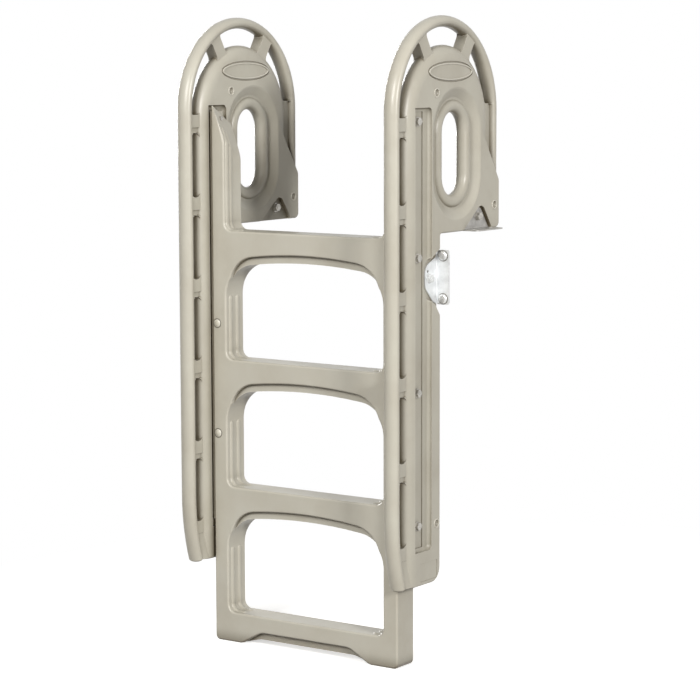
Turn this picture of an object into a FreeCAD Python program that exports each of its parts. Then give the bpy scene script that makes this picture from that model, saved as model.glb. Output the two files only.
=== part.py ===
import FreeCAD, Part
import os
from math import asin, atan2, cos, degrees, pi, sin, sqrt, tan
from FreeCAD import Vector

# Dock ladder: two identical moulded side rails with looped handrails, one moulded frame
# with four steps between them, and the zinc plated brackets and bolts that fasten it.
# Millimetres. While it is built, x runs across from the ladder's middle, y runs back from
# the centre of the front handrail and z runs up from the deck. At the end everything is
# moved so that the origin lies under the middle of the right deck bracket's foot.

# Spacing of the two rails and the pitch of the steps
rail_spacing = 580.0
step_pitch = 304.8

# Handrail, an oval tube that loops over the top of each rail and sweeps back at its foot
tube_half_width = 19.0
tube_half_depth = 13.0
handrail_span = 408.0
handrail_top = 490.0
foot_sweep_radius = 530.0
foot_sweep_length = 162.0
tube_end_round = 5.0

# Panel of the rail
rail_thickness = 44.0
nose_length = 36.0
slot_width = 17.0
crescent_height = 40.0
rail_bottom = -797.0
lower_leg_back = 167.0
leg_corner_radius = 33.0
rear_foot_radius = 14.0
notch_radius = 6.0
edge_round = 5.0
flare_top = 236.0
flare_bottom = 112.0
flare_round = 40.0
flare_foot_round = 16.0
rear_tube_bottom = 78.0

# Webs that tie the handrail to the panel
web_pitch = 192.7
web_height = 42.0
web_thickness = 28.0
web_lip_height = 13.0
web_lip_thickness = 20.0
first_web_top = 263.0
web_count = 5
web_root = 9.0
slot_end_radius = 16.0
arch_web_angle = 58.5
arch_web_width = 34.0
arch_corner_radius = 12.0
groove_web_thickness = 16.0
groove_rise = 38.0
groove_bottom = 150.0

# Channel down each face of the panel, where the step frame is keyed
channel_front = 62.0
channel_back = 130.0
channel_depth = 10.0
channel_cove = 8.5
channel_corner = 12.0
channel_top = 285.0
channel_bottom = -719.0
groove_depth = 12.0
groove_back = 106.0

# Hand hole with its fat rolled rim in a dished ring
hole_centre_y = 235.0
hole_centre_z = 178.0
hole_half_straight = 49.0
rim_path_radius = 60.5
rim_half_width = 16.0
rim_half_depth = 16.0
dish_radius = 101.0
dish_floor_radius = 78.0
dish_depth = 13.0
dish_lip_radius = 16.0

# Dimples, the plain oval badge and the plain panel near the rail's bottom
dimple_places = ((150.0, 317.0), (398.0, 54.0), (151.0, -662.0))
dimple_radius = 8.0
dimple_depth = 5.0
badge_y = 208.0
badge_z = 364.0
badge_half_length = 94.0
badge_half_height = 24.0
badge_groove = 4.0
badge_groove_depth = 2.0
plate_front = 82.0
plate_back = 153.0
plate_top = -745.0
plate_bottom = -788.0
plate_recess = 1.0

# Recess and bracket at the foot of the rear leg
foot_recess_depth = 10.0
foot_recess_length = 122.0
foot_recess_inset = 37.0
recess_apex_inset = 41.0
recess_apex_z = 63.0
recess_top_radius = 20.0
recess_step = 6.0
bracket_clearance = 4.0
deck_bolt_inset = 85.0
deck_bolt_z = 30.0
plate_thickness = 3.0
bend_radius = 2.0
foot_width = 47.0
foot_corner = 8.0
foot_hole_radius = 6.5
foot_hole_inset = 20.0

# Pocket and bracket against the dock's face
pocket_depth = 12.0
pocket_reach = 57.0
pocket_mouth_top = -30.0
pocket_wall_top = -64.0
pocket_wall_bottom = -136.0
pocket_knee_inset = 22.0
pocket_knee_z = -160.0
pocket_mouth_bottom = -191.0
pocket_round = 30.0
lobe_reach = 52.0
lobe_top = -49.0
lobe_wall_top = -72.0
lobe_wall_bottom = -118.0
lobe_knee_inset = 20.0
lobe_knee_z = -152.0
lobe_round = 27.0
lobe_hole_radius = 3.0
lobe_hole_inset = 46.0
lobe_hole_z = -83.0
dock_bolt_inset = 34.0
dock_bolt_z = -99.0
flange_reach = 46.0
flange_top = -36.0
flange_bottom = -160.0
flange_corner = 6.0
flange_hole_spacing = 97.5
flange_hole_radius = 9.0
flange_hole_x = 30.0

# Step frame
frame_front = 63.0
frame_back = 132.0
stile_outer = 262.5
opening_half_width = 223.0
opening_foot_radius = 20.0
top_step_z = -8.0
step_count = 4
top_step_drop = 69.0
step_drop = 64.0
arch_apex_rise = 8.7
arch_eave_drop = 17.0
arch_crown_share = 0.95
arch_shoulder_radius = 75.0
frame_round = 4.5
frame_bottom = -994.0
frame_corner = 12.0
underside_half_width = 196.0
underside_rise = 14.0
underside_round = 40.0
underside_slope = 60.0
terrace_depth = 12.0
terrace_height = 18.0
terrace_inset = 9.0
tongue_front = 68.0
tongue_back = 104.0
tongue_top = 270.0
tongue_bottom = -700.0
horn_top = 284.0
horn_tip_width = 12.0
horn_neck_z = 203.0
horn_neck_radius = 60.0
horn_inner = 226.0
horn_drop = 44.0
horn_root_z = 60.0
horn_foot_radius = 20.0
horn_slope_z = 217.0
horn_edge_width = 5.0

# Soft ribs down the inner walls of the stiles and horns
rib_depths = (82.0, 108.0)
rib_radius = 12.0
rib_rise = 2.6
rib_top_drop = 92.0
rib_run = 12.0
horn_rib_depths = (76.5, 88.5)
horn_rib_drop = 2.0
horn_rib_lean = 34.0

# Bolts and nuts
bolt_radius = 5.0
bolt_clearance = 0.3
thread_clearance = 0.05
bolt_y = 87.0
first_bolt_z = 254.5
stile_bolt_count = 4
head_flats = 17.0
head_height = 6.5
washer_radius = 11.0
washer_thickness = 1.5
nut_height = 8.0
bolt_tip = 1.5
long_bolt = 60.0
top_bolt = 52.0
tip_clearance = 3.0

# Domed plugs that close the moulding holes in the stiles' fronts
plug_x = 249.0
plug_heights = (-228.0, -491.0)
plug_radius = 10.0
plug_rise = 3.5
plug_stem_radius = 6.0
plug_stem_length = 12.0

# How far a cutter reaches past the face it opens
proud = 2.0

# Sizes that follow from those above
half_spacing = rail_spacing / 2
half_rail = rail_thickness / 2
panel_front = tube_half_depth + slot_width
panel_top = handrail_top - 2 * tube_half_depth - crescent_height
rear_leg_back = handrail_span + tube_half_depth
arch_radius = handrail_span / 2
arch_y = arch_radius
arch_z = handrail_top - tube_half_depth - arch_radius
panel_arch_radius = arch_y - panel_front
panel_arch_z = panel_top - panel_arch_radius
groove_top = panel_arch_z + groove_rise
nose_back = panel_front + nose_length
sweep_z = rail_bottom + foot_sweep_length
groove_floor = half_rail - groove_depth
pocket_floor = half_rail - pocket_depth
foot_floor = half_rail - foot_recess_depth
recess_back = rear_leg_back - foot_recess_inset
recess_front = recess_back - foot_recess_length
ledge_half_width = opening_half_width - terrace_inset
foot_back = recess_back - bracket_clearance
foot_front = recess_front + bracket_clearance
foot_centre_y = (foot_front + foot_back) / 2
foot_centre_x = half_spacing + foot_floor + foot_width / 2
deck_bolt_y = rear_leg_back - deck_bolt_inset
dock_bolt_y = lower_leg_back - dock_bolt_inset
bolt_reach = [top_bolt] + [long_bolt] * (stile_bolt_count - 1)
nut_reach = washer_thickness + nut_height + bolt_tip


def in_rail(a, b):
    """Point of the rail's middle plane."""
    return Vector(0, a, b)


def in_frame(a, b):
    """Point of the upright plane across the ladder."""
    return Vector(a, 0, b)


def rounded(place, *corners):
    """Closed wire through corners (a, b, radius), each rounded by its own radius."""
    turns = []
    for i, (a, b, r) in enumerate(corners):
        here = Vector(a, b, 0)
        before = Vector(*corners[i - 1][:2], 0) - here
        after = Vector(*corners[(i + 1) % len(corners)][:2], 0) - here
        if r == 0:
            turns.append((here, None, here))
            continue
        before.normalize()
        after.normalize()
        half = before.getAngle(after) / 2
        inward = (before + after).normalize()
        reach = r / tan(half)
        turns.append((here + before * reach, here + inward * (r / sin(half) - r), here + after * reach))
    edges = []
    for i, (start, middle, end) in enumerate(turns):
        last = turns[i - 1][2]
        if (start - last).Length > 1e-4:
            edges.append(Part.LineSegment(place(last.x, last.y), place(start.x, start.y)).toShape())
        if middle is not None:
            arc = [place(point.x, point.y) for point in (start, middle, end)]
            edges.append(Part.Arc(*arc).toShape())
    return Part.Wire(edges)


def across_rail(wire, x_low, x_high):
    """Solid between two planes across the rail from a wire in the rail's plane."""
    face = Part.Face(wire)
    face.translate(Vector(x_low, 0, 0))
    return face.extrude(Vector(x_high - x_low, 0, 0))


def through_frame(wire, front, back):
    """Solid between two planes front and back from a wire across the ladder."""
    face = Part.Face(wire)
    face.translate(Vector(0, front, 0))
    return face.extrude(Vector(0, back - front, 0))


def mirrored(shape):
    """Mirror image on the other side of the plane x = 0."""
    return shape.mirror(Vector(0, 0, 0), Vector(1, 0, 0))


def both_sides(shape):
    return [shape, mirrored(shape)]


def bore(x, y, z, length):
    """Bolt's clearance hole that runs along x from a starting point."""
    return Part.makeCylinder(bolt_radius + bolt_clearance, length, Vector(x, y, z), Vector(1, 0, 0))


def block(x, y, z):
    """Box from three (low, high) pairs."""
    return Part.makeBox(x[1] - x[0], y[1] - y[0], z[1] - z[0], Vector(x[0], y[0], z[0]))


def oval_face(centre, half_x, half_y):
    """Level oval section with its middle at centre."""
    if half_x > half_y:
        curve = Part.Ellipse(centre + Vector(half_x, 0, 0), centre + Vector(0, half_y, 0), centre)
    else:
        curve = Part.Ellipse(centre + Vector(0, half_y, 0), centre + Vector(half_x, 0, 0), centre)
    return Part.Face(Part.Wire([curve.toShape()]))


def handrail():
    """Oval tube: up the front, over the arch and down the rear, with its foot swept back."""
    up = Vector(0, 0, 1)
    section = oval_face(Vector(0, 0, sweep_z), tube_half_width, tube_half_depth)
    front = section.extrude(up * (arch_z - sweep_z))
    bend = degrees(asin(foot_sweep_length / foot_sweep_radius))
    foot = section.revolve(Vector(0, foot_sweep_radius, sweep_z), Vector(1, 0, 0), bend)
    lowest = min(foot.Edges, key=lambda edge: edge.BoundBox.ZMin + edge.BoundBox.ZMax)
    foot = foot.makeFillet(tube_end_round, [lowest])
    spring = oval_face(Vector(0, 0, arch_z), tube_half_width, tube_half_depth)
    arch = spring.revolve(Vector(0, arch_y, arch_z), Vector(-1, 0, 0), 180)
    rear = oval_face(Vector(0, handrail_span, rear_tube_bottom), tube_half_width, tube_half_depth)
    rear = rear.extrude(up * (arch_z - rear_tube_bottom))
    return front.fuse([foot, arch, rear])


def nose_section(z):
    """Half oval leading edge with a square back that sinks into the panel."""
    tip = Vector(0, panel_front, z)
    centre = Vector(0, nose_back, z)
    side = Vector(half_rail, nose_back, z)
    arc = Part.ArcOfEllipse(Part.Ellipse(tip, side, centre), -pi / 2, pi / 2).toShape()
    start, end = [vertex.Point for vertex in arc.Vertexes]
    inward = Vector(0, 2 * edge_round, 0)
    back = Part.makePolygon([end, end + inward, start + inward, start])
    return Part.Face(Part.Wire([arc] + back.Edges))


def panel_nose():
    """Rounded leading edge of the panel: up the front, over its arch and down the rear."""
    front = nose_section(rail_bottom).extrude(Vector(0, 0, panel_arch_z - rail_bottom))
    rim = [e for e in front.Edges if e.BoundBox.ZMax < rail_bottom + 1 and e.BoundBox.YMin < nose_back - 1]
    front = front.makeFillet(edge_round, rim)
    arch = nose_section(panel_arch_z).revolve(Vector(0, arch_y, panel_arch_z), Vector(-1, 0, 0), 180)
    nose_end = (flare_top + flare_bottom) / 2 - edge_round
    rear = nose_section(nose_end).mirror(Vector(0, arch_y, 0), Vector(0, 1, 0))
    rear = rear.extrude(Vector(0, 0, panel_arch_z - nose_end))
    return front.fuse([arch, rear])


def panel_slab():
    """Flat part of the panel, behind its leading edge, with the notch for the dock."""
    inner = panel_arch_radius - nose_length
    rear = arch_y + inner
    slab = across_rail(rounded(
        in_rail, (nose_back, rail_bottom, 0), (nose_back, panel_arch_z, 0), (rear, panel_arch_z, 0),
        (rear, flare_top, flare_round), (rear_leg_back, flare_bottom, flare_foot_round),
        (rear_leg_back, 0, rear_foot_radius), (lower_leg_back, 0, notch_radius),
        (lower_leg_back, rail_bottom, leg_corner_radius)), -half_rail, half_rail)
    rims = [edge for edge in slab.Edges if edge.BoundBox.XLength < 1e-6]
    centre = Vector(-half_rail, arch_y, panel_arch_z)
    disc = Part.makeCylinder(inner - edge_round, rail_thickness, centre, Vector(1, 0, 0))
    return slab.makeFillet(edge_round, rims).fuse([disc])


def web_gaps():
    """Gaps between the webs: straight ones, and three round the arch. They reach into the
    handrail and the panel, so that each web's ends flare where it joins them."""
    front = tube_half_depth - web_root
    back = panel_front + web_root
    gaps = []
    for k in range(web_count):
        high = first_web_top - k * web_pitch - web_height
        low = first_web_top - (k + 1) * web_pitch
        r = slot_end_radius
        corners = ((front, low, r), (front, high, r), (back, high, r), (back, low, r))
        gaps.append(Part.Face(rounded(in_rail, *corners)))
    outer = arch_radius - front
    inner = arch_y - back
    rear = handrail_span - front
    below = first_web_top - proud
    band = Part.Face(rounded(in_rail, (front, first_web_top, 0), (front, arch_z + outer, outer),
                             (rear, arch_z + outer, outer), (rear, first_web_top, 0)))
    band = band.cut(Part.Face(rounded(
        in_rail, (back, below, 0), (back, panel_arch_z + inner, inner),
        (handrail_span - back, panel_arch_z + inner, inner), (handrail_span - back, below, 0))))
    band = band.cut(Part.Face(rounded(in_rail, (arch_y, below, 0), (arch_y, groove_top, 0),
                                      (rear + proud, groove_top, 0), (rear + proud, below, 0))))
    spoke = Part.Face(rounded(in_rail, (0, -arch_web_width / 2, 0), (arch_radius, -arch_web_width / 2, 0),
                              (arch_radius, arch_web_width / 2, 0), (0, arch_web_width / 2, 0)))
    spoke.translate(Vector(0, arch_y, arch_z))
    for angle in (arch_web_angle, 180 - arch_web_angle):
        turned = spoke.copy()
        turned.rotate(Vector(0, arch_y, arch_z), Vector(1, 0, 0), angle)
        band = band.cut(turned)
    for face in band.Faces:
        gaps.append(face.makeOffset2D(-arch_corner_radius).makeOffset2D(arch_corner_radius).Faces[0])
    return gaps


def web_plate():
    """Plate that joins the handrail to the panel, pierced by the gaps, with stepped webs."""
    t = web_thickness / 2
    foot_top = first_web_top - web_count * web_pitch
    plate_bottom = foot_top - web_height + web_lip_height
    behind = panel_front + nose_length / 2
    crown = panel_top - nose_length / 2
    r = panel_arch_radius - nose_length / 2
    foot = panel_arch_z - proud
    outer = rounded(in_rail, (0, plate_bottom, 0), (0, handrail_top - tube_half_depth, arch_radius),
                    (handrail_span, handrail_top - tube_half_depth, arch_radius), (handrail_span, foot, 0),
                    (handrail_span - behind, foot, 0), (handrail_span - behind, crown, r), (behind, crown, r),
                    (behind, plate_bottom, 0))
    plate = across_rail(outer, -t, t)
    plate = plate.cut(block((-t, t), (arch_y, handrail_span + proud), (foot - proud, groove_top)))
    for face in web_gaps():
        face.translate(Vector(-half_rail, 0, 0))
        plate = plate.cut(face.extrude(Vector(rail_thickness, 0, 0)))
    for k in range(web_count):
        low = first_web_top - k * web_pitch - web_height
        for x in ((web_lip_thickness / 2, t + 1), (-t - 1, -web_lip_thickness / 2)):
            plate = plate.cut(block(x, (-1, behind + 1), (low - 1, low + web_lip_height)))
    groove = block((-groove_web_thickness / 2, groove_web_thickness / 2),
                   (handrail_span - behind, handrail_span), (groove_bottom, groove_top + 1))
    return [plate, groove]


def foot_wedge():
    """Fill between the handrail's foot and the panel, thicker towards the rail's bottom."""
    top = first_web_top - web_count * web_pitch
    a = web_lip_thickness / 2 - 1
    b = tube_half_width - 2
    upper = Part.makePolygon([Vector(-a, 0, top), Vector(a, 0, top), Vector(a, panel_front + 4, top),
                              Vector(-a, panel_front + 4, top), Vector(-a, 0, top)])
    low = rail_bottom + 3
    back = foot_sweep_length ** 2 / (2 * foot_sweep_radius)
    lower = Part.makePolygon([Vector(-b, back, low), Vector(b, back, low), Vector(half_rail, nose_back, low),
                              Vector(-half_rail, nose_back, low), Vector(-b, back, low)])
    return Part.makeLoft([upper, lower], True, True)


def race_track(radius, x):
    """Closed wire of two straights and two half rounds about the hand hole's middle."""
    y, z = hole_centre_y, hole_centre_z
    end = hole_half_straight + radius
    wire = rounded(in_rail, (y - radius, z - end, radius), (y - radius, z + end, radius),
                   (y + radius, z + end, radius), (y + radius, z - end, radius))
    wire.translate(Vector(x, 0, 0))
    return wire


def round_the_hole(section):
    """Solid swept round the race track: section(offset, z) gives its face at y offset from the middle."""
    y, z, s = hole_centre_y, hole_centre_z, hole_half_straight
    front = section(-1, z - s)
    solids = [front.extrude(Vector(0, 0, 2 * s)), section(1, z - s).extrude(Vector(0, 0, 2 * s))]
    solids.append(front.revolve(Vector(0, y, z - s), Vector(1, 0, 0), 180))
    solids.append(section(-1, z + s).revolve(Vector(0, y, z + s), Vector(-1, 0, 0), 180))
    return solids[0].fuse(solids[1:])


def rim_section(side, z):
    centre = Vector(0, hole_centre_y + side * rim_path_radius, z)
    return oval_face(centre, rim_half_width, rim_half_depth)


def dish_section(side, z):
    """Section of the dish round the rim, with a soft lip where it meets the panel's face."""
    def place(reach, x):
        return Vector(x, hole_centre_y + side * reach, z)
    floor = half_rail - dish_depth
    return Part.Face(rounded(
        place, (rim_path_radius, floor, 0), (dish_floor_radius, floor, dish_lip_radius / 2),
        (dish_radius, half_rail, dish_lip_radius), (dish_radius + 5 * proud, half_rail + proud / 2, 0),
        (dish_radius + 5 * proud, half_rail + proud, 0), (rim_path_radius, half_rail + proud, 0)))


def channel_cutter():
    """Channel on the outer face: square front wall, coved rear wall and ends, deeper in front."""
    channel = block((half_rail - channel_depth, half_rail + channel_corner), (channel_front, channel_back),
                    (channel_bottom, channel_top))
    corners = [e for e in channel.Edges if e.BoundBox.XLength > 1 and e.BoundBox.YMin > channel_back - 1]
    channel = channel.makeFillet(channel_corner, corners)
    floor_edges = [e for e in channel.Edges if e.BoundBox.XMax < half_rail - channel_depth + 1e-3]
    rim = [e for e in floor_edges if e.BoundBox.YMax > channel_front + 1]
    channel = channel.makeFillet(channel_cove, rim)
    groove = block((groove_floor, half_rail), (channel_front, groove_back),
                   (channel_bottom + channel_cove, channel_top - channel_cove))
    return channel.fuse([groove])


def badge_cutter(body):
    """Shallow oval groove that follows the face of body."""
    def oval(trim):
        centre = Vector(0, badge_y, badge_z)
        end = centre + Vector(0, badge_half_length - trim, 0)
        side = centre + Vector(0, 0, badge_half_height - trim)
        return Part.Face(Part.Wire([Part.Ellipse(end, side, centre).toShape()]))
    ring = oval(0).cut(oval(badge_groove)).extrude(Vector(half_rail + proud, 0, 0))
    deeper = body.copy()
    deeper.translate(Vector(-badge_groove_depth, 0, 0))
    return ring.cut(deeper)


def dimple_cutters():
    ball = (dimple_radius ** 2 + dimple_depth ** 2) / (2 * dimple_depth)
    return [Part.makeSphere(ball, Vector(half_rail - dimple_depth + ball, y, z)) for y, z in dimple_places]


def recess_face():
    """Triangle with a round top at the foot of the rear leg, open below."""
    below = -2 * bracket_clearance
    return Part.Face(rounded(
        in_rail, (recess_front, below, 0), (recess_front, 0, 0),
        (recess_back - recess_apex_inset, recess_apex_z, recess_top_radius),
        (recess_back, recess_step, 0), (recess_back, below, 0)))


def pocket_wire():
    """Pocket that opens through the lower leg's rear edge."""
    front = lower_leg_back - pocket_reach
    return rounded(
        in_rail, (lower_leg_back + proud, pocket_mouth_top, 0), (front, pocket_wall_top, pocket_round),
        (front, pocket_wall_bottom, pocket_round),
        (lower_leg_back - pocket_knee_inset, pocket_knee_z, pocket_round),
        (lower_leg_back + proud, pocket_mouth_bottom, 0))


def bolt_places():
    return [(bolt_y, first_bolt_z - k * step_pitch) for k in range(stile_bolt_count)]


def side_rail():
    """One moulded rail, the same on both faces, about x = 0."""
    rail = panel_slab().fuse([panel_nose()])
    plate = rounded(in_rail, (plate_front, plate_bottom, frame_round), (plate_front, plate_top, frame_round),
                    (plate_back, plate_top, frame_round), (plate_back, plate_bottom, frame_round))
    recess = recess_face().translated(Vector(foot_floor, 0, 0)).extrude(Vector(half_rail, 0, 0))
    cutters = [channel_cutter(), round_the_hole(dish_section), badge_cutter(rail), recess]
    cutters.append(across_rail(pocket_wire(), pocket_floor, half_rail + proud))
    cutters.append(across_rail(plate, half_rail - plate_recess, half_rail + proud))
    cutters += dimple_cutters()
    cutters = [shape for cutter in cutters for shape in both_sides(cutter)]
    cutters.append(across_rail(race_track(rim_path_radius, 0), -half_rail, half_rail))
    rail = rail.cut(cutters)
    rail = rail.fuse([round_the_hole(rim_section), handrail(), foot_wedge()] + web_plate())
    for y, z in bolt_places() + [(deck_bolt_y, deck_bolt_z), (dock_bolt_y, dock_bolt_z)]:
        rail = rail.cut(bore(-half_rail - proud, y, z, rail_thickness + 2 * proud))
    return rail


def step_z(k):
    return top_step_z - k * step_pitch


def opening_wire(low, high, half_width):
    """Opening between two steps: small foot corners, wide shoulders and a nearly flat arch."""
    w = half_width
    slope = atan2(arch_apex_rise + arch_eave_drop, w)
    shoulder = arch_shoulder_radius / tan((pi / 2 + slope) / 2)
    crown = (w / cos(slope) - shoulder) * arch_crown_share / tan(slope)
    return rounded(in_frame, (-w, low, opening_foot_radius), (w, low, opening_foot_radius),
                   (w, high - arch_eave_drop, arch_shoulder_radius), (0, high + arch_apex_rise, crown),
                   (-w, high - arch_eave_drop, arch_shoulder_radius))


def underside_wire(half_width, rise):
    """Arch under the bottom step."""
    low = frame_bottom - proud
    top = frame_bottom + rise
    flat = half_width - underside_slope
    return rounded(in_frame, (-half_width, low, 0), (half_width, low, 0), (flat, top, underside_round),
                   (-flat, top, underside_round))


def frame_body():
    """Outline of the frame with its steps closed, and the horns, whose tops fall to the rear."""
    o = stile_outer
    tip = o - horn_tip_width
    root = horn_root_z + horn_drop
    body = through_frame(rounded(
        in_frame, (-o, frame_bottom, frame_corner), (o, frame_bottom, frame_corner), (o, root, 0),
        (horn_inner, root, 0), (horn_inner, top_step_z, horn_foot_radius),
        (-horn_inner, top_step_z, horn_foot_radius), (-horn_inner, root, 0), (-o, root, 0)),
        frame_front, frame_back)
    horn = Part.Face(rounded(
        in_frame, (horn_inner, root, 0), (o, root, 0), (o, horn_top, 0), (tip, horn_top, 0),
        (horn_inner, horn_neck_z, horn_neck_radius)))
    horn.translate(Vector(0, frame_front, 0))
    horn = horn.extrude(Vector(0, frame_back - frame_front, -horn_drop))
    return body.fuse(both_sides(horn)).removeSplitter()


def horn_cutter():
    """Takes a horn's inner wall back to a narrow edge at its tip."""
    wide = (stile_outer - horn_tip_width - horn_inner) / (horn_top - horn_neck_z)
    start = horn_inner + wide * (horn_slope_z - horn_neck_z)
    edge = stile_outer - horn_edge_width
    steep = (edge - start) / (horn_top - horn_slope_z)
    rise = 2 * horn_drop
    clear = horn_inner - horn_foot_radius
    past = proud / (frame_back - frame_front)
    face = Part.Face(rounded(
        in_frame, (clear, horn_slope_z, 0), (start, horn_slope_z, 0), (edge + steep * rise, horn_top + rise, 0),
        (clear, horn_top + rise, 0)))
    face.translate(Vector(0, frame_front - proud, past * horn_drop))
    return face.extrude(Vector(0, frame_back - frame_front, -horn_drop) * (1 + 2 * past))


def front_rims(frame, plane, outer):
    """Edges of the frame on a front or rear plane: its outer outline, or the openings and horns."""
    rims = []
    for edge in frame.Edges:
        box = edge.BoundBox
        if box.YLength > 1e-6 or abs(box.YMin - plane) > 1e-3:
            continue
        if box.ZLength < 1e-3 and box.ZMax > top_step_z + 1:
            continue
        reach = max(abs(box.XMin), abs(box.XMax))
        is_outer = reach > stile_outer - 1e-3 or box.ZMax < frame_bottom + underside_rise + terrace_height + 1
        if is_outer == outer:
            rims.append(edge)
    return rims


def rounded_frame(frame):
    """Softens the frame's edges on its front and rear planes."""
    for plane, outer in ((frame_front, False), (frame_front, True), (frame_back, True), (frame_back, False)):
        frame = frame.makeFillet(frame_round, front_rims(frame, plane, outer))
    return frame


def stile_rib(y, low, high, inner):
    """Soft rib down a stile's inner wall that turns out onto the step below."""
    sunk = rib_radius - rib_rise
    wall = inner + sunk
    turn = opening_foot_radius + sunk
    foot = Vector(inner - opening_foot_radius, y, low + opening_foot_radius)
    up = Vector(0, 0, 1)
    start = Vector(wall, y, foot.z)
    top = Vector(wall, y, high)
    disc = Part.Face(Part.Wire([Part.Circle(start, up, rib_radius).toShape()]))
    straight = disc.extrude(top - start)
    bend = disc.revolve(foot, Vector(0, 1, 0), 90)
    end = foot + Vector(-rib_run, 0, -turn)
    run = Part.makeCylinder(rib_radius, rib_run, end, Vector(1, 0, 0))
    return [straight, bend, run, Part.makeSphere(rib_radius, top), Part.makeSphere(rib_radius, end)]


def horn_rib(y):
    """Soft rib up a horn's inner wall that leans outwards with it above the neck."""
    lean = atan2(stile_outer - horn_edge_width - horn_inner, horn_top - horn_neck_z)
    neck_z = horn_neck_z - horn_drop * (y - frame_front) / (frame_back - frame_front) - horn_rib_drop
    wall = stile_rib(y, top_step_z, neck_z, horn_inner)
    neck = Vector(horn_inner + rib_radius - rib_rise, y, neck_z)
    axis = Vector(sin(lean), 0, cos(lean))
    leaning = Part.makeCylinder(rib_radius, horn_rib_lean, neck, axis)
    return wall + [leaning, Part.makeSphere(rib_radius, neck + axis * horn_rib_lean)]


def step_frame():
    """One moulding: two stiles, four steps, horns at the top and arched openings."""
    frame = frame_body()
    cutters = []
    ribs = []
    for k in range(step_count - 1):
        low = step_z(k + 1)
        high = step_z(k) - (top_step_drop if k == 0 else step_drop)
        opening = opening_wire(low, high, opening_half_width)
        ledge = opening_wire(low + opening_foot_radius, high + terrace_height, ledge_half_width)
        cutters.append(through_frame(opening, frame_front - proud, frame_back + proud))
        cutters.append(through_frame(ledge, frame_front - proud, frame_front + terrace_depth))
        for y in rib_depths:
            ribs += stile_rib(y, low, high - rib_top_drop, opening_half_width)
    underside = underside_wire(underside_half_width, underside_rise)
    ledge = underside_wire(underside_half_width - terrace_inset, underside_rise + terrace_height)
    cutters.append(through_frame(underside, frame_front - proud, frame_back + proud))
    cutters.append(through_frame(ledge, frame_front - proud, frame_front + terrace_depth))
    for cutter in cutters:
        frame = frame.cut(cutter)
    frame = rounded_frame(frame).cut(both_sides(horn_cutter()))
    for y in horn_rib_depths:
        ribs += horn_rib(y)
    for rib in ribs:
        frame = frame.fuse(both_sides(rib))
    tongue = block((stile_outer - proud, half_spacing - groove_floor), (tongue_front, tongue_back),
                   (tongue_bottom, tongue_top))
    frame = frame.fuse(both_sides(tongue))
    for side in (-1, 1):
        for k in range(stile_bolt_count):
            tip = half_spacing + groove_floor - bolt_reach[k] - tip_clearance
            start = Vector(side * tip, bolt_y, first_bolt_z - k * step_pitch)
            frame = frame.cut(Part.makeCylinder(bolt_radius + bolt_clearance, half_spacing - tip, start,
                                                Vector(side, 0, 0)))
        for z in plug_heights:
            start = Vector(side * plug_x, frame_front, z)
            frame = frame.cut(Part.makeCylinder(plug_stem_radius, plug_stem_length, start, Vector(0, 1, 0)))
    return frame.removeSplitter()


def plug(side, z):
    """Domed plug pressed into a hole in the front of a stile."""
    seat = Vector(side * plug_x, frame_front, z)
    stem = Part.makeCylinder(plug_stem_radius, plug_stem_length, seat, Vector(0, 1, 0))
    ball_radius = (plug_radius ** 2 + plug_rise ** 2) / (2 * plug_rise)
    ball = Part.makeSphere(ball_radius, seat + Vector(0, ball_radius - plug_rise, 0))
    cap = ball.common(Part.makeCylinder(plug_radius + proud, plug_rise + proud, seat, Vector(0, -1, 0)))
    return cap.fuse([stem]).removeSplitter()


def hexagon(flats, centre):
    """Hexagonal wire across x with two flats level."""
    r = flats / sqrt(3)
    points = [centre + Vector(0, r * cos(i * pi / 3), r * sin(i * pi / 3)) for i in range(6)]
    return Part.makePolygon(points + points[:1])


def hex_block(flats, seat, out, height):
    """Hexagonal head or nut with its outer corners turned off."""
    body = Part.Face(hexagon(flats, seat)).extrude(out * height)
    corner = flats / sqrt(3)
    skirt = Part.makeCone(corner + height, flats / 2 - 0.3, height + corner + 0.3 - flats / 2, seat, out)
    return body.common(skirt)


def bolt(x, y, z, side, length):
    """Hex bolt with its washer: the head lies outwards from the seat at x, the shank inwards."""
    out = Vector(side, 0, 0)
    seat = Vector(x, y, z)
    washer = Part.makeCylinder(washer_radius, washer_thickness, seat, out)
    head = hex_block(head_flats, seat + out * washer_thickness, out, head_height)
    shank = Part.makeCylinder(bolt_radius, length, seat, out * -1)
    return washer.fuse([head, shank]).removeSplitter()


def nut(x, y, z, side):
    """Washer and hex nut that close a bolt on the inner side of a rail."""
    out = Vector(-side, 0, 0)
    seat = Vector(x, y, z)
    washer = Part.makeCylinder(washer_radius, washer_thickness, seat, out)
    body = hex_block(head_flats, seat + out * washer_thickness, out, nut_height)
    thread = Part.makeCylinder(bolt_radius + thread_clearance, nut_reach + proud, seat - out, out)
    return washer.fuse([body]).cut(thread).removeSplitter()


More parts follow.
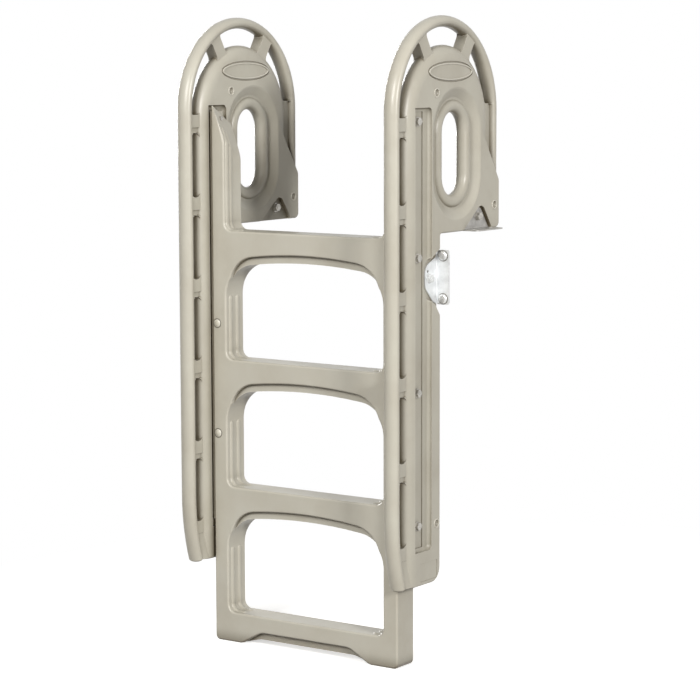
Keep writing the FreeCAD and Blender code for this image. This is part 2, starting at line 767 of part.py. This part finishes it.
def deck_bracket():
    """Angle bracket of the right rail: a lobe in the rail's recess and a level foot on the deck."""
    x0 = half_spacing + foot_floor
    t = plate_thickness

    def in_section(a, b):
        return Vector(a, 0, b)
    angle = Part.Face(rounded(
        in_section, (x0, 0, bend_radius + t), (x0 + foot_width, 0, 0), (x0 + foot_width, t, 0),
        (x0 + t, t, bend_radius), (x0 + t, recess_apex_z, 0), (x0, recess_apex_z, 0)))
    angle.translate(Vector(0, foot_front, 0))
    angle = angle.extrude(Vector(0, foot_back - foot_front, 0))
    lobe = recess_face().makeOffset2D(-bracket_clearance)
    lobe.translate(Vector(x0, 0, 0))
    lobe = lobe.extrude(Vector(t + bend_radius, 0, 0))
    foot = block((x0, x0 + foot_width), (foot_front, foot_back), (0, t + bend_radius))
    corners = [e for e in foot.Edges if e.BoundBox.ZLength > 1 and e.BoundBox.XMin > x0 + 1]
    bracket = angle.common(lobe.fuse([foot.makeFillet(foot_corner, corners)]))
    bracket = bracket.cut(bore(x0 - proud, deck_bolt_y, deck_bolt_z, t + 2 * proud))
    for y in (foot_front + foot_hole_inset, foot_back - foot_hole_inset):
        start = Vector(foot_centre_x, y, -proud)
        bracket = bracket.cut(Part.makeCylinder(foot_hole_radius, t + 2 * proud, start, Vector(0, 0, 1)))
    return bracket.removeSplitter()


def dock_face_bracket():
    """Angle bracket of the right rail: a lobe in the rail's pocket and a flange against the dock's face."""
    x0 = half_spacing + pocket_floor
    x1 = half_spacing + flange_reach
    back = lower_leg_back
    front = back - lobe_reach
    t = plate_thickness

    def in_section(a, b):
        return Vector(a, b, 0)
    angle = Part.Face(rounded(
        in_section, (x0, back, bend_radius + t), (x1, back, 0), (x1, back - t, 0),
        (x0 + t, back - t, bend_radius), (x0 + t, front, 0), (x0, front, 0)))
    angle.translate(Vector(0, 0, flange_bottom))
    angle = angle.extrude(Vector(0, 0, flange_top - flange_bottom))
    outline = rounded(
        in_rail, (back, lobe_top, 0), (front, lobe_wall_top, lobe_round),
        (front, lobe_wall_bottom, lobe_round), (back - lobe_knee_inset, lobe_knee_z, lobe_round),
        (back, flange_bottom, 0))
    lobe = across_rail(outline, x0, x0 + t + bend_radius)
    flange = block((x0, x1), (back - t - bend_radius, back), (flange_bottom, flange_top))
    corners = [e for e in flange.Edges if e.BoundBox.YLength > 1 and e.BoundBox.XMin > x0 + 1]
    bracket = angle.common(lobe.fuse([flange.makeFillet(flange_corner, corners)]))
    bracket = bracket.cut(bore(x0 - proud, dock_bolt_y, dock_bolt_z, t + 2 * proud))
    start = Vector(x0 - proud, back - lobe_hole_inset + 2 * lobe_hole_radius, lobe_hole_z)
    bracket = bracket.cut(Part.makeCylinder(lobe_hole_radius, t + 2 * proud, start, Vector(1, 0, 0)))
    middle = (flange_top + flange_bottom) / 2
    for z in (middle - flange_hole_spacing / 2, middle + flange_hole_spacing / 2):
        start = Vector(half_spacing + flange_hole_x, back - t - proud, z)
        bracket = bracket.cut(Part.makeCylinder(flange_hole_radius, t + 2 * proud, start, Vector(0, 1, 0)))
    return bracket.removeSplitter()


def build():
    """Every piece of the ladder by name."""
    pieces = {"step_frame": step_frame()}
    rail = side_rail()
    deck_angle = deck_bracket()
    dock_angle = dock_face_bracket()
    for name, side in (("left", -1), ("right", 1)):
        pieces[name + "_side_rail"] = rail.translated(Vector(side * half_spacing, 0, 0))
        pieces[name + "_deck_bracket"] = deck_angle if side > 0 else mirrored(deck_angle)
        pieces[name + "_dock_face_bracket"] = dock_angle if side > 0 else mirrored(dock_angle)
        for k in range(stile_bolt_count):
            z = first_bolt_z - k * step_pitch
            x_stile = side * (half_spacing + groove_floor)
            pieces[f"{name}_stile_bolt_{k + 1}"] = bolt(x_stile, bolt_y, z, side, bolt_reach[k])
        for word, floor, y, z in (("deck", foot_floor, deck_bolt_y, deck_bolt_z),
                                  ("dock", pocket_floor, dock_bolt_y, dock_bolt_z)):
            outer = half_spacing + floor + plate_thickness
            inner = half_spacing - floor
            pieces[f"{name}_{word}_bolt"] = bolt(side * outer, y, z, side, outer - inner + nut_reach)
            pieces[f"{name}_{word}_nut"] = nut(side * inner, y, z, side)
        for word, z in zip(("upper", "lower"), plug_heights):
            pieces[f"{name}_{word}_plug"] = plug(side, z)
    return pieces


os.makedirs("parts", exist_ok=True)
for name, shape in build().items():
    shape.translate(Vector(-foot_centre_x, -foot_centre_y, 0))
    solids = len(shape.Solids)
    print(f"{name}: {solids} solid(s), valid {shape.isValid()}, volume {shape.Volume / 1e6:.4f} litres")
    shape.exportStep(f"parts/{name}.step")
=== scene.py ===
from math import cos, radians, sin

import bmesh
import bpy
from mathutils import Matrix, Vector


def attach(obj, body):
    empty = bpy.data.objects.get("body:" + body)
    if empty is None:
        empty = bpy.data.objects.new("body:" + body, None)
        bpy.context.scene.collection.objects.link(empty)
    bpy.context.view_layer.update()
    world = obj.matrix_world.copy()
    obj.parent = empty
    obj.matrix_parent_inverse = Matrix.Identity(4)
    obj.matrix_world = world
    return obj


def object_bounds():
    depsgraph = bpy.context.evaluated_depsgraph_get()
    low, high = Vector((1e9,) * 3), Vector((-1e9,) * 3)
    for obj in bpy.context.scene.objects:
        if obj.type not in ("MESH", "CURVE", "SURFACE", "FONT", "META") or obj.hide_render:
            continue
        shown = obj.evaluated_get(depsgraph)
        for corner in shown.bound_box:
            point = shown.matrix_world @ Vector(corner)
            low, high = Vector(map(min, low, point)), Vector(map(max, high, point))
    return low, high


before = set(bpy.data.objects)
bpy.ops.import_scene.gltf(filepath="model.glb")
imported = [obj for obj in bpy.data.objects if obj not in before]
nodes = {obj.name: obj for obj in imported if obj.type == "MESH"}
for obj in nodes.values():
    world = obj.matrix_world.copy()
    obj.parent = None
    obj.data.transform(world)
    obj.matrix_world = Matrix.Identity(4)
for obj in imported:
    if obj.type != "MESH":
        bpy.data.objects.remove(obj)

cad_low, cad_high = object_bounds()

# Metres. The origin lies under the middle of the right deck bracket's foot, x runs across the
# ladder to the right, y runs back towards the dock and z runs up from the deck.

# Places on the right side of the ladder, mirrored for the left side across the plane at mirror_x.
mirror_x = -0.3255
rail_outer_x = -0.0135
rail_inner_x = -0.0575
screw_x = -0.0055
plug_x = -0.0765
seat_place = (-0.05125, -0.2395, -0.7095)
# Place of the dark pin in each lobe hole, which is painted shade.
lobe_shade_place = (-0.0258, -0.196, -0.083)

# Each badge and dimple as y and z, each screw and plug as z.
badge_places = ((-0.115, 0.364),)
dimple_places = ((-0.173, 0.317), (0.075, 0.054), (-0.172, -0.662))
screw_heights = (-0.04925, -0.14675)
plug_heights = (-0.228, -0.491)

# Where the backs of the pieces on the ladder's front lie, and how far rings sink into the rails.
screw_head_y = -0.159
screw_shank_y = -0.1562
# Backs of the dark rings round screw heads and plugs, which are painted shade.
screw_shade_ring_y = -0.1588
plug_shade_ring_y = -0.2597
ring_sink = 0.001

# The way along x out of each side, the way to the front, and the point that the lamps look at.
way_out = {"right": 1.0, "left": -1.0}
to_front = Vector((0, -1, 0))
lamp_target = (-0.33, -0.1, -0.25)


def tone(red, green, blue):
    """Colour written as it shows on a screen, 0 to 255, as linear values for a shader."""
    values = []
    for channel in (red, green, blue):
        share = channel / 255
        values.append(share / 12.92 if share < 0.04045 else ((share + 0.055) / 1.055) ** 2.4)
    return (*values, 1.0)


class Shader:
    """A material's node tree with a few short ways to add to it."""

    def __init__(self, name):
        self.material = bpy.data.materials.new(name)
        self.material.use_nodes = True
        self.tree = self.material.node_tree
        self.surface = self.tree.nodes["Principled BSDF"]
        self.place = self.tree.nodes.new("ShaderNodeTexCoord").outputs["Object"]

    def add(self, kind, **settings):
        node = self.tree.nodes.new(kind)
        for key, value in settings.items():
            setattr(node, key, value)
        return node

    def join(self, source, target):
        self.tree.links.new(source, target)

    def feed(self, name, source):
        """Joins a node's output to a socket of the main surface."""
        self.join(source, self.surface.inputs[name])

    def stretched(self, scale):
        """The object's own coordinates stretched by a scale for each axis."""
        mapping = self.add("ShaderNodeMapping")
        mapping.inputs["Scale"].default_value = scale
        self.join(self.place, mapping.inputs["Vector"])
        return mapping.outputs["Vector"]

    def noise(self, scale, detail, roughness=0.5, place=None):
        node = self.add("ShaderNodeTexNoise")
        node.inputs["Scale"].default_value = scale
        node.inputs["Detail"].default_value = detail
        node.inputs["Roughness"].default_value = roughness
        self.join(place or self.place, node.inputs["Vector"])
        return node.outputs["Fac"]

    def remap(self, value, given, wanted):
        """Turns a value from the given range, a pair of ends, into the wanted one."""
        node = self.add("ShaderNodeMapRange")
        node.inputs["From Min"].default_value = given[0]
        node.inputs["From Max"].default_value = given[1]
        node.inputs["To Min"].default_value = wanted[0]
        node.inputs["To Max"].default_value = wanted[1]
        self.join(value, node.inputs["Value"])
        return node.outputs["Result"]

    def ramp(self, value, *stops):
        """Colour ramp from stops, each a position and a colour."""
        node = self.add("ShaderNodeValToRGB")
        elements = node.color_ramp.elements
        while len(elements) < len(stops):
            elements.new(0.5)
        for element, (position, colour) in zip(elements, stops):
            element.position = position
            element.color = colour
        self.join(value, node.inputs["Fac"])
        return node.outputs["Color"]

    def openness(self, distance, inside=False):
        """1 on open faces, less in corners and slots, or near outer edges when looking inside."""
        node = self.add("ShaderNodeAmbientOcclusion", samples=8, inside=inside)
        node.inputs["Distance"].default_value = distance
        return node.outputs["AO"]

    def facing_up(self):
        """1 on faces that look straight up, -1 on those that look straight down."""
        node = self.add("ShaderNodeSeparateXYZ")
        self.join(self.add("ShaderNodeNewGeometry").outputs["Normal"], node.inputs[0])
        return node.outputs["Z"]

    def blend(self, share, first, second):
        """Mixes a node's colour with a plain one. A share of 1 gives the plain one alone."""
        node = self.add("ShaderNodeMix", data_type="RGBA")
        # The sockets for colours share their names with others, so they go by number.
        self.join(share, node.inputs[0])
        self.join(first, node.inputs[6])
        node.inputs[7].default_value = second
        return node.outputs[2]

    def bump(self, height, strength, distance, under=None):
        node = self.add("ShaderNodeBump")
        node.inputs["Strength"].default_value = strength
        node.inputs["Distance"].default_value = distance
        self.join(height, node.inputs["Height"])
        if under is not None:
            self.join(under, node.inputs["Normal"])
        return node.outputs["Normal"]

    def mixed_surface(self, share, first, second):
        """Mixes two nodes' surfaces. A share of 1 gives the second alone."""
        node = self.add("ShaderNodeMixShader")
        self.join(share, node.inputs["Fac"])
        self.join(first.outputs[0], node.inputs[1])
        self.join(second.outputs[0], node.inputs[2])
        return node


def moulded_plastic(name, light, middle, dark):
    """Matte moulding: slight mottling, painted shade in corners, slots and on faces that look down, painted
    highlights on outer edges, uneven faces.
    """
    shader = Shader(name)
    # Dark brown used as painted shade in corners, slots and on faces that look down.
    shade_tone = tone(94, 84, 64)
    # Light tone used as painted highlight on outer edges.
    highlight_tone = tone(222, 219, 208)
    mottle = shader.noise(scale=7.0, detail=5.0, roughness=0.6)
    colour = shader.ramp(mottle, (0.3, dark), (0.5, middle), (0.72, light))
    # Painted shade: darker where the occlusion test finds corners and slots.
    corner_shade = shader.remap(shader.openness(distance=0.045), (0.38, 0.9), (0.96, 0.0))
    colour = shader.blend(corner_shade, colour, shade_tone)
    # Painted shade: faces that look down are darkened.
    underside_shade = shader.remap(shader.facing_up(), (-0.4, -0.95), (0.0, 0.8))
    colour = shader.blend(underside_shade, colour, shade_tone)
    # Painted highlight: outer edges are lightened.
    highlight_on_edges = shader.remap(shader.openness(distance=0.004, inside=True), (0.35, 0.8), (0.4, 0.0))
    shader.feed("Base Color", shader.blend(highlight_on_edges, colour, highlight_tone))
    wear = shader.noise(scale=23.0, detail=4.0, roughness=0.6)
    shader.feed("Roughness", shader.remap(wear, (0.3, 0.7), (0.3, 0.42)))
    waves = shader.bump(shader.noise(scale=14.0, detail=1.0), strength=0.25, distance=0.002)
    grain = shader.noise(scale=900.0, detail=2.0)
    shader.feed("Normal", shader.bump(grain, strength=0.12, distance=0.0003, under=waves))
    return shader.material


def rail_plastic():
    """Plastic of the two side rails."""
    return moulded_plastic("rail plastic", tone(193, 190, 177), tone(187, 183, 170), tone(179, 174, 160))


def frame_plastic():
    """Plastic of the step frame."""
    return moulded_plastic("frame plastic", tone(194, 191, 179), tone(189, 185, 172), tone(182, 177, 163))


def plug_plastic():
    """Slightly lighter plastic of the pressed-in plugs."""
    return moulded_plastic("plug plastic", tone(204, 201, 188), tone(198, 194, 180), tone(189, 184, 169))


def zinc(name, light, dark, roughness):
    """Zinc plating: cloudy grey with fine scratches."""
    shader = Shader(name)
    cloud = shader.noise(scale=60.0, detail=4.0, roughness=0.65)
    shader.feed("Base Color", shader.ramp(cloud, (0.3, dark), (0.7, light)))
    scratch_place = shader.stretched((1.0, 1.0, 14.0))
    scratches = shader.noise(scale=120.0, detail=3.0, roughness=0.6, place=scratch_place)
    shader.feed("Roughness", shader.remap(scratches, (0.3, 0.7), (roughness - 0.08, roughness + 0.1)))
    shader.feed("Normal", shader.bump(scratches, strength=0.1, distance=0.0002))
    shader.surface.inputs["Metallic"].default_value = 0.55
    return shader.material


def screw_zinc():
    """Bright zinc of the dock bolts and screws."""
    return zinc("screw zinc", tone(240, 241, 240), tone(196, 197, 196), roughness=0.24)


def bolt_zinc():
    """Darker, uneven zinc of the other bolts and the nuts."""
    return zinc("bolt zinc", tone(216, 213, 206), tone(136, 133, 126), roughness=0.28)


def bracket_zinc():
    """Pale zinc of the dock face brackets."""
    return zinc("bracket zinc", tone(238, 240, 241), tone(214, 216, 217), roughness=0.4)


def deck_zinc():
    """Greyer zinc of the deck brackets."""
    return zinc("deck zinc", tone(190, 188, 184), tone(158, 156, 152), roughness=0.4)


def shade_dark_finish():
    """Dark finish with a dusty sheen for the painted shade rings round heads and plugs and the painted
    shade pins in the lobe holes.
    """
    shader = Shader("painted shade dark")
    dust = shader.noise(scale=180.0, detail=4.0, roughness=0.6)
    shader.feed("Base Color", shader.ramp(dust, (0.35, tone(78, 75, 68)), (0.7, tone(112, 107, 97))))
    shader.feed("Roughness", shader.remap(dust, (0.3, 0.7), (0.45, 0.65)))
    shader.feed("Normal", shader.bump(dust, strength=0.2, distance=0.0002))
    return shader.material


def kind_of(name):
    """The kind of finish for the node with this name."""
    if name.endswith("dock_bolt"):
        return "screw"
    if "bolt" in name or "nut" in name:
        return "bolt"
    if name.endswith("deck_bracket"):
        return "deck"
    return name.split("_")[-1]


def paint(finishes):
    """Gives each node the finish of its kind."""
    for name, node in nodes.items():
        node.data.materials.clear()
        node.data.materials.append(finishes[kind_of(name)])


def upper_edges(shape, height):
    """The edges of a bmesh that lie above a height."""
    return [edge for edge in shape.edges if all(end.co.z > height for end in edge.verts)]


def round_edges(shape, edges, rounding, segments):
    """Rounds some edges of a bmesh."""
    bmesh.ops.bevel(shape, geom=edges, offset=rounding, offset_type="OFFSET", segments=segments,
                    profile=0.5, affect="EDGES", material=-1)


def flat_ring(half_length, half_height, width, thickness, rounding):
    """Oval ring lying in the xy plane from z 0 up, its upper edges rounded."""
    ring = bmesh.new()
    bmesh.ops.create_circle(ring, cap_ends=True, segments=96, radius=1.0)
    bmesh.ops.scale(ring, vec=(half_length, half_height, 1.0), verts=ring.verts)
    middle = list(ring.faces)
    bmesh.ops.inset_individual(ring, faces=middle, thickness=width, use_even_offset=True)
    bmesh.ops.delete(ring, geom=middle, context="FACES")
    raised = bmesh.ops.extrude_face_region(ring, geom=list(ring.faces))["geom"]
    top = [item for item in raised if isinstance(item, bmesh.types.BMVert)]
    bmesh.ops.translate(ring, vec=(0, 0, thickness), verts=top)
    bmesh.ops.recalc_face_normals(ring, faces=ring.faces)
    ring.normal_update()
    sharp_angle = 1.0
    corners = [edge for edge in upper_edges(ring, thickness / 2) if edge.calc_face_angle(0.0) > sharp_angle]
    round_edges(ring, corners, rounding, segments=3)
    return ring


def round_ring(radius, width, thickness, rounding):
    """Flat ring with the given outer radius."""
    return flat_ring(radius, radius, width, thickness, rounding)


def domed_disc(radius, thickness, rounding):
    """Low round head lying in the xy plane from z 0 up, its upper edge rounded."""
    disc = bmesh.new()
    bmesh.ops.create_cone(disc, cap_ends=True, segments=48, radius1=radius, radius2=radius, depth=thickness)
    bmesh.ops.translate(disc, vec=(0, 0, thickness / 2), verts=disc.verts)
    round_edges(disc, upper_edges(disc, thickness / 2), rounding, segments=6)
    return disc


def rounded_block(sizes, rounding):
    """Block with rounded edges around the origin."""
    block = bmesh.new()
    bmesh.ops.create_cube(block, size=1.0)
    bmesh.ops.scale(block, vec=sizes, verts=block.verts)
    round_edges(block, list(block.edges), rounding, segments=3)
    return block


def standing(place, outward):
    """Matrix that stands a flat shape upright at a place, with its z facing outward."""
    upright = Vector((0, 0, 1))
    turn = Matrix((upright.cross(outward), upright, outward)).transposed()
    return Matrix.Translation(place) @ turn.to_4x4()


def on_side(side, x):
    """The given x for the right side, its mirror image for the left."""
    return x if side == "right" else 2 * mirror_x - x


def piece(name, shapes, material):
    """Joins placed shapes, pairs of bmesh and matrix, into one smooth piece of the ladder."""
    whole = bmesh.new()
    for shape, matrix in shapes:
        bmesh.ops.transform(shape, matrix=matrix, verts=shape.verts)
        bmesh.ops.recalc_face_normals(shape, faces=shape.faces)
        part = bpy.data.meshes.new("part")
        shape.to_mesh(part)
        shape.free()
        whole.from_mesh(part)
        bpy.data.meshes.remove(part)
    mesh = bpy.data.meshes.new(name)
    whole.to_mesh(mesh)
    whole.free()
    mesh.shade_smooth()
    mesh.materials.append(material)
    thing = bpy.data.objects.new(name, mesh)
    bpy.context.scene.collection.objects.link(thing)
    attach(thing, "root")


def rings_on_rails(ending, sizes, places, plastic):
    """Equal rings at each y and z in places, on both flat faces of each rail."""
    for side, away in way_out.items():
        outward = Vector((away, 0, 0))
        faces = ((on_side(side, rail_outer_x), outward), (on_side(side, rail_inner_x), -outward))
        shapes = []
        for x, facing in faces:
            for y, z in places:
                seat = Vector((x, y, z)) - facing * ring_sink
                shapes.append((flat_ring(**sizes), standing(seat, facing)))
        piece(side + ending, shapes, plastic)


def badge_rims(plastic):
    """Bare oval rims inside the badge grooves."""
    sizes = dict(half_length=0.0898, half_height=0.0198, width=0.0038, thickness=0.0026, rounding=0.0012)
    rings_on_rails("_badge_rim", sizes, badge_places, plastic)


def dimple_lips(plastic):
    """Rolled lips around the round dimples."""
    sizes = dict(half_length=0.0112, half_height=0.0112, width=0.0034, thickness=0.0022, rounding=0.0011)
    rings_on_rails("_dimple_lips", sizes, dimple_places, plastic)


def dock_screws(metal):
    """Domed screw heads over the two holes of each dock bracket's flange, with their shanks."""
    for side in way_out:
        x = on_side(side, screw_x)
        shapes = []
        for z in screw_heights:
            head = domed_disc(radius=0.0115, thickness=0.0055, rounding=0.0048)
            shank = domed_disc(radius=0.0075, thickness=0.004, rounding=0.0005)
            shapes.append((head, standing(Vector((x, screw_head_y, z)), to_front)))
            shapes.append((shank, standing(Vector((x, screw_shank_y, z)), to_front)))
        piece(side + "_dock_screws", shapes, metal)


def shade_rings(shade_dark):
    """Thin dark rings round the screw heads and round the plugs in the stiles: painted shade standing in
    for the shadow round each head and plug.
    """
    for side in way_out:
        shapes = []
        for z in screw_heights:
            ring = round_ring(radius=0.0128, width=0.0024, thickness=0.0014, rounding=0.0004)
            place = Vector((on_side(side, screw_x), screw_shade_ring_y, z))
            shapes.append((ring, standing(place, to_front)))
        for z in plug_heights:
            ring = round_ring(radius=0.0112, width=0.0015, thickness=0.0011, rounding=0.0003)
            place = Vector((on_side(side, plug_x), plug_shade_ring_y, z))
            shapes.append((ring, standing(place, to_front)))
        piece(side + "_shade_rings", shapes, shade_dark)


def tongue_seats(plastic):
    """Rounded blocks that close the bottom of each rail's groove under the frame's tongue."""
    x, y, z = seat_place
    for side in way_out:
        block = rounded_block(sizes=(0.0105, 0.042, 0.018), rounding=0.002)
        place = Matrix.Translation((on_side(side, x), y, z))
        piece(side + "_tongue_seat", [(block, place)], plastic)


def lobe_hole_shades(shade_dark):
    """Dark pin sunk in the small hole of each dock bracket's lobe: painted shade standing in for the shade
    inside the hole.
    """
    x, y, z = lobe_shade_place
    for side, away in way_out.items():
        head = domed_disc(radius=0.0029, thickness=0.0026, rounding=0.0008)
        place = standing(Vector((on_side(side, x), y, z)), Vector((away, 0, 0)))
        piece(side + "_lobe_hole_shade", [(head, place)], shade_dark)


def pale_ground():
    """Pale paint that grows into plain white away from the object and bounces little light."""
    shader = Shader("pale ground")
    paint_layer = shader.surface
    paint_layer.inputs["Roughness"].default_value = 0.9
    paint_layer.inputs["Specular IOR Level"].default_value = 0.1
    bounced = shader.add("ShaderNodeLightPath").outputs["Is Diffuse Ray"]
    shader.feed("Base Color", shader.ramp(bounced, (0.0, tone(244, 244, 242)), (1.0, tone(80, 70, 56))))
    glow = shader.add("ShaderNodeEmission")
    glow.inputs["Strength"].default_value = 0.6
    lifted = shader.add("ShaderNodeAddShader")
    shader.join(paint_layer.outputs[0], lifted.inputs[0])
    shader.join(glow.outputs[0], lifted.inputs[1])
    distance = shader.add("ShaderNodeVectorMath", operation="LENGTH")
    shader.join(shader.place, distance.inputs[0])
    far_away = shader.remap(distance.outputs["Value"], (0.5, 1.6), (0.0, 1.0))
    white = shader.add("ShaderNodeEmission")
    seen = shader.mixed_surface(far_away, lifted, white)
    whole = shader.mixed_surface(bounced, seen, paint_layer)
    shader.join(whole.outputs[0], shader.tree.nodes["Material Output"].inputs["Surface"])
    return shader.material


def floor():
    """Plain ground at the ladder's lowest point."""
    bpy.ops.mesh.primitive_plane_add(size=60, location=(0, 0, cad_low.z))
    ground = bpy.context.object
    ground.name = "ground"
    ground.data.materials.append(pale_ground())


def sky():
    """Even light for the object in front of a white background."""
    world = bpy.data.worlds.new("soft sky")
    bpy.context.scene.world = world
    world.use_nodes = True
    tree = world.node_tree
    light = tree.nodes["Background"]
    light.inputs["Color"].default_value = tone(250, 240, 222)
    light.inputs["Strength"].default_value = 0.05
    white = tree.nodes.new("ShaderNodeBackground")
    white.inputs["Color"].default_value = (1, 1, 1, 1)
    white.inputs["Strength"].default_value = 1.0
    rays = tree.nodes.new("ShaderNodeLightPath")
    seen_or_glossy = tree.nodes.new("ShaderNodeMath")
    shows_white = tree.nodes.new("ShaderNodeMath")
    shows_white.use_clamp = True
    mix = tree.nodes.new("ShaderNodeMixShader")
    tree.links.new(rays.outputs["Is Camera Ray"], seen_or_glossy.inputs[0])
    tree.links.new(rays.outputs["Is Glossy Ray"], seen_or_glossy.inputs[1])
    tree.links.new(seen_or_glossy.outputs[0], shows_white.inputs[0])
    tree.links.new(rays.outputs["Is Transmission Ray"], shows_white.inputs[1])
    tree.links.new(shows_white.outputs[0], mix.inputs["Fac"])
    tree.links.new(light.outputs[0], mix.inputs[1])
    tree.links.new(white.outputs[0], mix.inputs[2])
    tree.links.new(mix.outputs[0], tree.nodes["World Output"].inputs["Surface"])


def lamp(name, place, size, power):
    """Large square soft light, aimed at about the middle of the ladder."""
    data = bpy.data.lights.new(name, "AREA")
    data.size = size
    data.energy = power
    data.color = (1.0, 0.99, 0.975)
    light = bpy.data.objects.new(name, data)
    bpy.context.scene.collection.objects.link(light)
    light.location = place
    light.rotation_euler = (Vector(lamp_target) - Vector(place)).to_track_quat("-Z", "Y").to_euler()


def photo_camera():
    """Camera at the photo's place and angle."""
    place = (2.94463, -4.76992, 0.41541)
    azimuth, elevation, roll = radians(34.82), radians(7.07), radians(-0.16)
    back = Vector((sin(azimuth) * cos(elevation), -cos(azimuth) * cos(elevation), sin(elevation)))
    level = Vector((cos(azimuth), sin(azimuth), 0))
    upright = back.cross(level)
    right = level * cos(roll) + upright * sin(roll)
    up = upright * cos(roll) - level * sin(roll)
    data = bpy.data.cameras.new("photo camera")
    data.lens = 124.91
    data.sensor_width = 36.0
    camera = bpy.data.objects.new("photo camera", data)
    bpy.context.scene.collection.objects.link(camera)
    turn = Matrix((right, up, back)).transposed().to_4x4()
    camera.matrix_world = Matrix.Translation(place) @ turn
    bpy.context.scene.camera = camera


bpy.context.scene.view_settings.view_transform = "Standard"
plastic = rail_plastic()
# Dark finish of the painted shade rings and pins.
shade_dark = shade_dark_finish()
bright = screw_zinc()
paint({
    "rail": plastic,
    "frame": frame_plastic(),
    "plug": plug_plastic(),
    "bracket": bracket_zinc(),
    "deck": deck_zinc(),
    "bolt": bolt_zinc(),
    "screw": bright,
})
badge_rims(plastic)
dimple_lips(plastic)
dock_screws(bright)
# Painted shade: dark rings round the screw heads and plugs.
shade_rings(shade_dark)
tongue_seats(plastic)
# Painted shade: dark pins in the lobe holes.
lobe_hole_shades(shade_dark)
floor()
sky()
lamp("front light", place=(0.5, -5.4, 2.35), size=2.0, power=255)
lamp("side light", place=(6.7, -2.9, 2.1), size=1.2, power=430)
lamp("back light", place=(-5.1, 2.9, 0.9), size=2.0, power=150)
photo_camera()
